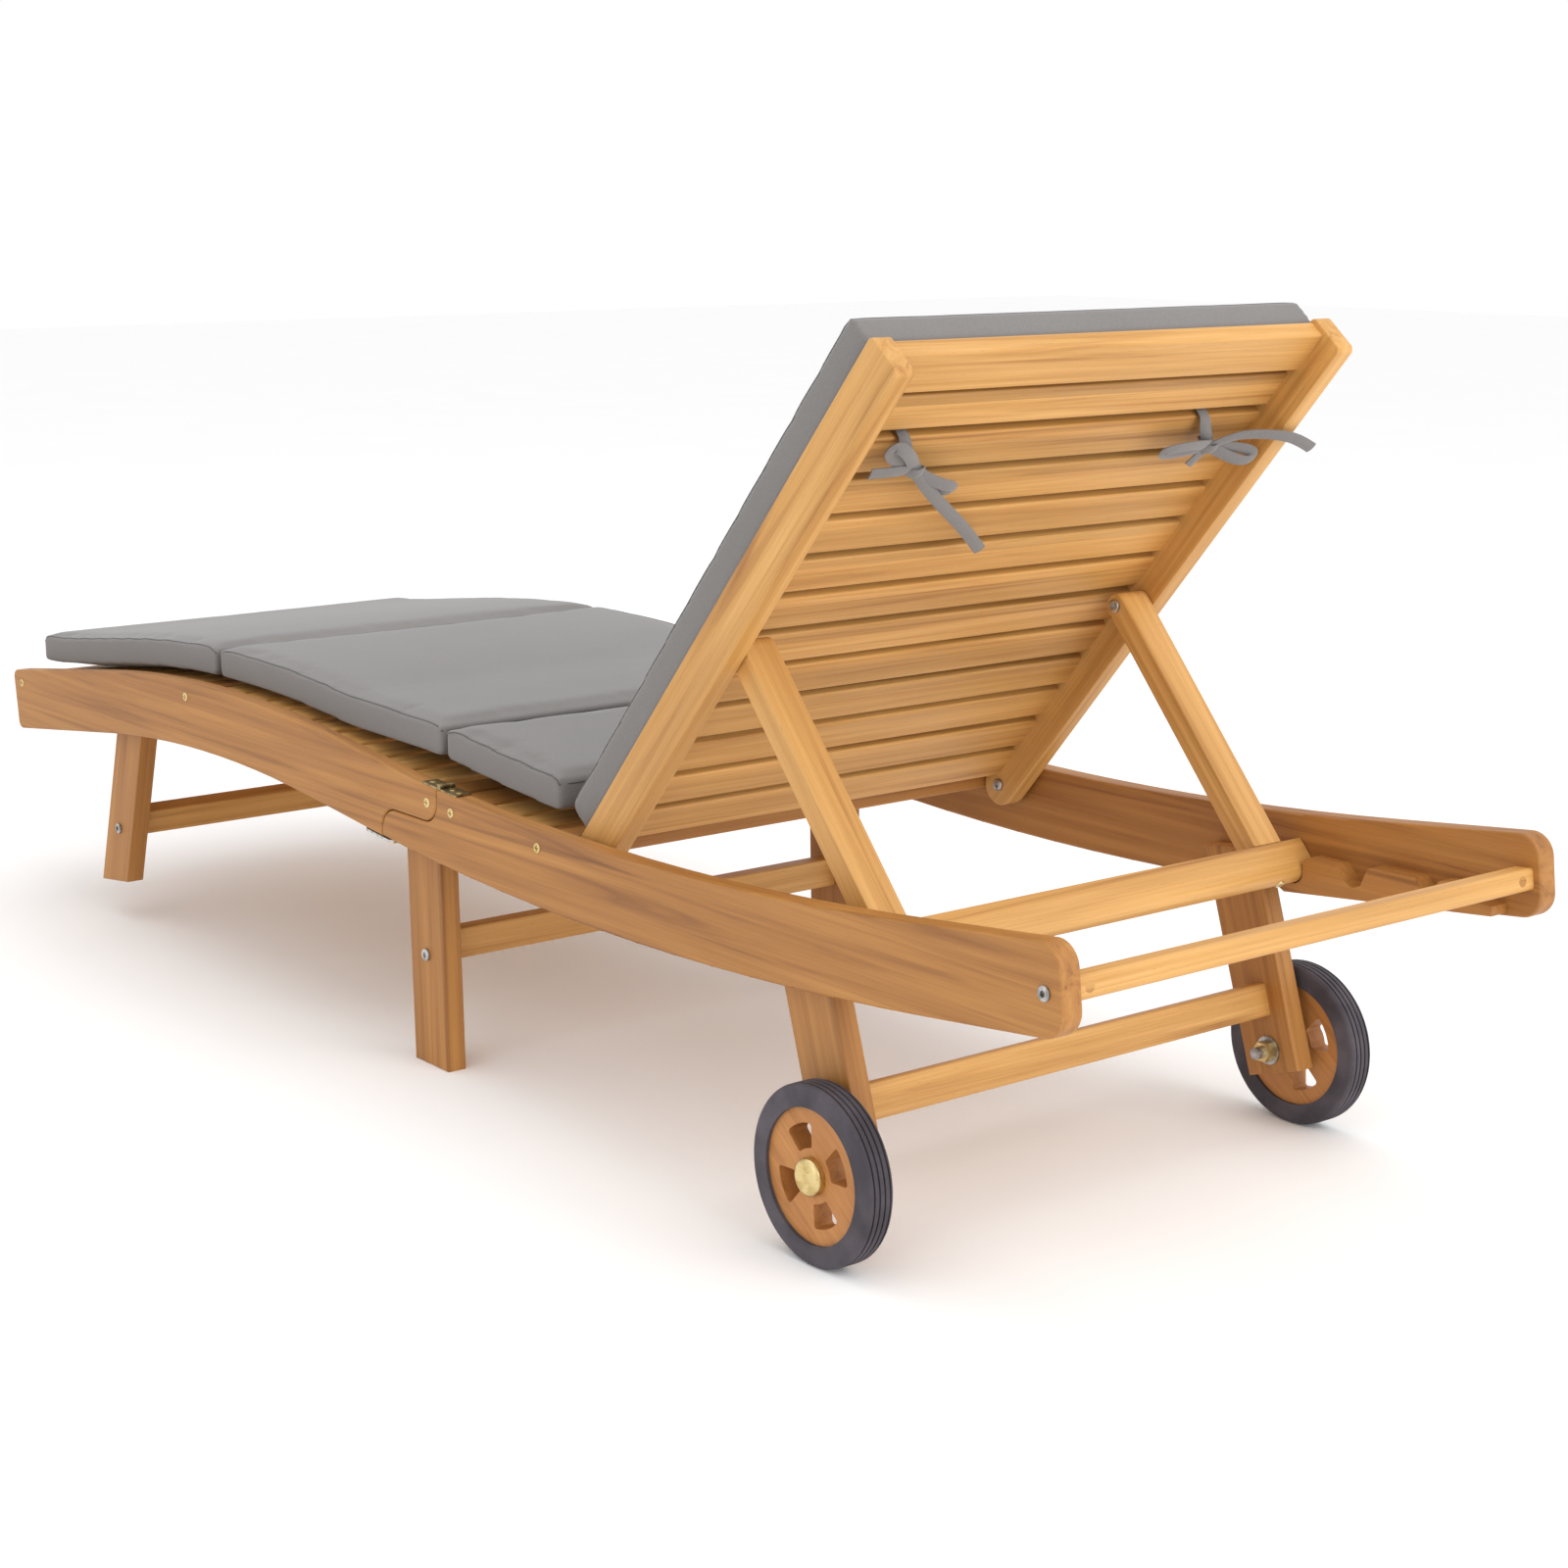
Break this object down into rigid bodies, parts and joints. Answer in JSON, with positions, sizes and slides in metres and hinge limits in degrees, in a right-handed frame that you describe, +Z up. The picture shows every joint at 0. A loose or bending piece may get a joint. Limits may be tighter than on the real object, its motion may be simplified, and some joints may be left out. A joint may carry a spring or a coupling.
{
  "type": "reclining sun lounger",
  "caption": "Folding timber sun lounger with a propped reclining back, a pair of wheels at the head end and a tied-on sectional cushion.",
  "frame": {"origin": "on the ground, under the middle of the lounger", "axes": "+X across the lounger towards a lying person's left, +Y towards the foot end, +Z up"},
  "size_m": [0.637, 1.95, 0.7951],
  "materials": {
    "frame_timber": "satin oiled",
    "slat_timber": "satin oiled",
    "wheel_timber": "satin oiled",
    "tyre_rubber": "matte",
    "brass": "polished",
    "steel": "zinc plated",
    "cushion_fabric": "woven"
  },
  "bodies": {
    "seat_frame": {"rail_head_left": "frame_timber", "rail_head_right": "frame_timber", "leg_mid_left": "frame_timber", "leg_mid_right": "frame_timber", "leg_rear_left": "frame_timber", "leg_rear_right": "frame_timber", "stretcher_mid": "frame_timber", "stretcher_rear": "frame_timber", "handle_bar": "frame_timber", "cleat_left": "frame_timber", "cleat_right": "frame_timber", "ledger_seat_left": "frame_timber", "ledger_seat_right": "frame_timber", "crossbars_seat": "frame_timber", "slats_seat": "slat_timber", "axle_bolts": "steel", "axle_nuts": "steel", "axle_caps": "brass", "washers_seat": "steel", "back_pivot_bolts": "steel", "hinge_leaves_head": "brass", "hinge_pins": "brass", "wood_screws_seat": "brass", "frame_bolts_seat": "steel", "handle_plugs": "slat_timber", "cushion_seat": "cushion_fabric"},
    "foot_frame": {"rail_foot_left": "frame_timber", "rail_foot_right": "frame_timber", "leg_front_left": "frame_timber", "leg_front_right": "frame_timber", "stretcher_front": "frame_timber", "ledger_foot_left": "frame_timber", "ledger_foot_right": "frame_timber", "crossbars_foot": "frame_timber", "slats_foot": "slat_timber", "hinge_leaves_foot": "brass", "wood_screws_foot": "brass", "frame_bolts_foot": "steel", "cushion_foot": "cushion_fabric", "cushion_knee": "cushion_fabric"},
    "backrest": {"stile_left": "frame_timber", "stile_right": "frame_timber", "top_rail": "slat_timber", "slats_back": "slat_timber", "prop_bolts": "steel", "prop_washers": "steel", "cushion_back": "cushion_fabric", "tie_left": "cushion_fabric", "tie_right": "cushion_fabric"},
    "prop_frame": {"strut_left": "frame_timber", "strut_right": "frame_timber", "prop_bar": "frame_timber", "prop_bar_screws": "brass"},
    "wheel_left": {"wheel_hub_left": "wheel_timber", "tyre_left": "tyre_rubber"},
    "wheel_right": {"wheel_hub_right": "wheel_timber", "tyre_right": "tyre_rubber"},
    "catch_left": {"catch_hook_left": "steel"},
    "catch_right": {"catch_hook_right": "steel"}
  },
  "joints": [
    {"name": "back_recline", "type": "hinge", "parent": "seat_frame", "child": "backrest", "pos_m": [0, -0.303, 0.278], "axis": [1, 0, 0], "range_deg": [0, 43]},
    {"name": "prop_swing", "type": "hinge", "parent": "backrest", "child": "prop_frame", "pos_m": [0, -0.50651, 0.49595], "axis": [1, 0, 0], "range_deg": [-92.7, 0]},
    {"name": "foot_fold", "type": "hinge", "parent": "seat_frame", "child": "foot_frame", "pos_m": [0, -0.076, 0.30994], "axis": [1, 0, 0], "range_deg": [0, 120], "deforming": ["cushion_knee", "cushion_seat"]},
    {"name": "wheel_left_spin", "type": "hinge", "parent": "seat_frame", "child": "wheel_left", "pos_m": [0.2995, -0.688, 0.08], "axis": [1, 0, 0], "continuous": true},
    {"name": "wheel_right_spin", "type": "hinge", "parent": "seat_frame", "child": "wheel_right", "pos_m": [-0.2995, -0.688, 0.08], "axis": [1, 0, 0], "continuous": true},
    {"name": "catch_left_turn", "type": "hinge", "parent": "seat_frame", "child": "catch_left", "pos_m": [0.2935, 0.026, 0.23818], "axis": [0, 0.0873, -0.9962], "range_deg": [0, 80]},
    {"name": "catch_right_turn", "type": "hinge", "parent": "seat_frame", "child": "catch_right", "pos_m": [-0.2935, 0.026, 0.23818], "axis": [0, -0.0873, 0.9962], "range_deg": [0, 80]}
  ],
  "couplings": [
    {"joint": "prop_swing", "follows": "back_recline", "ratio": -2.1535}
  ]
}
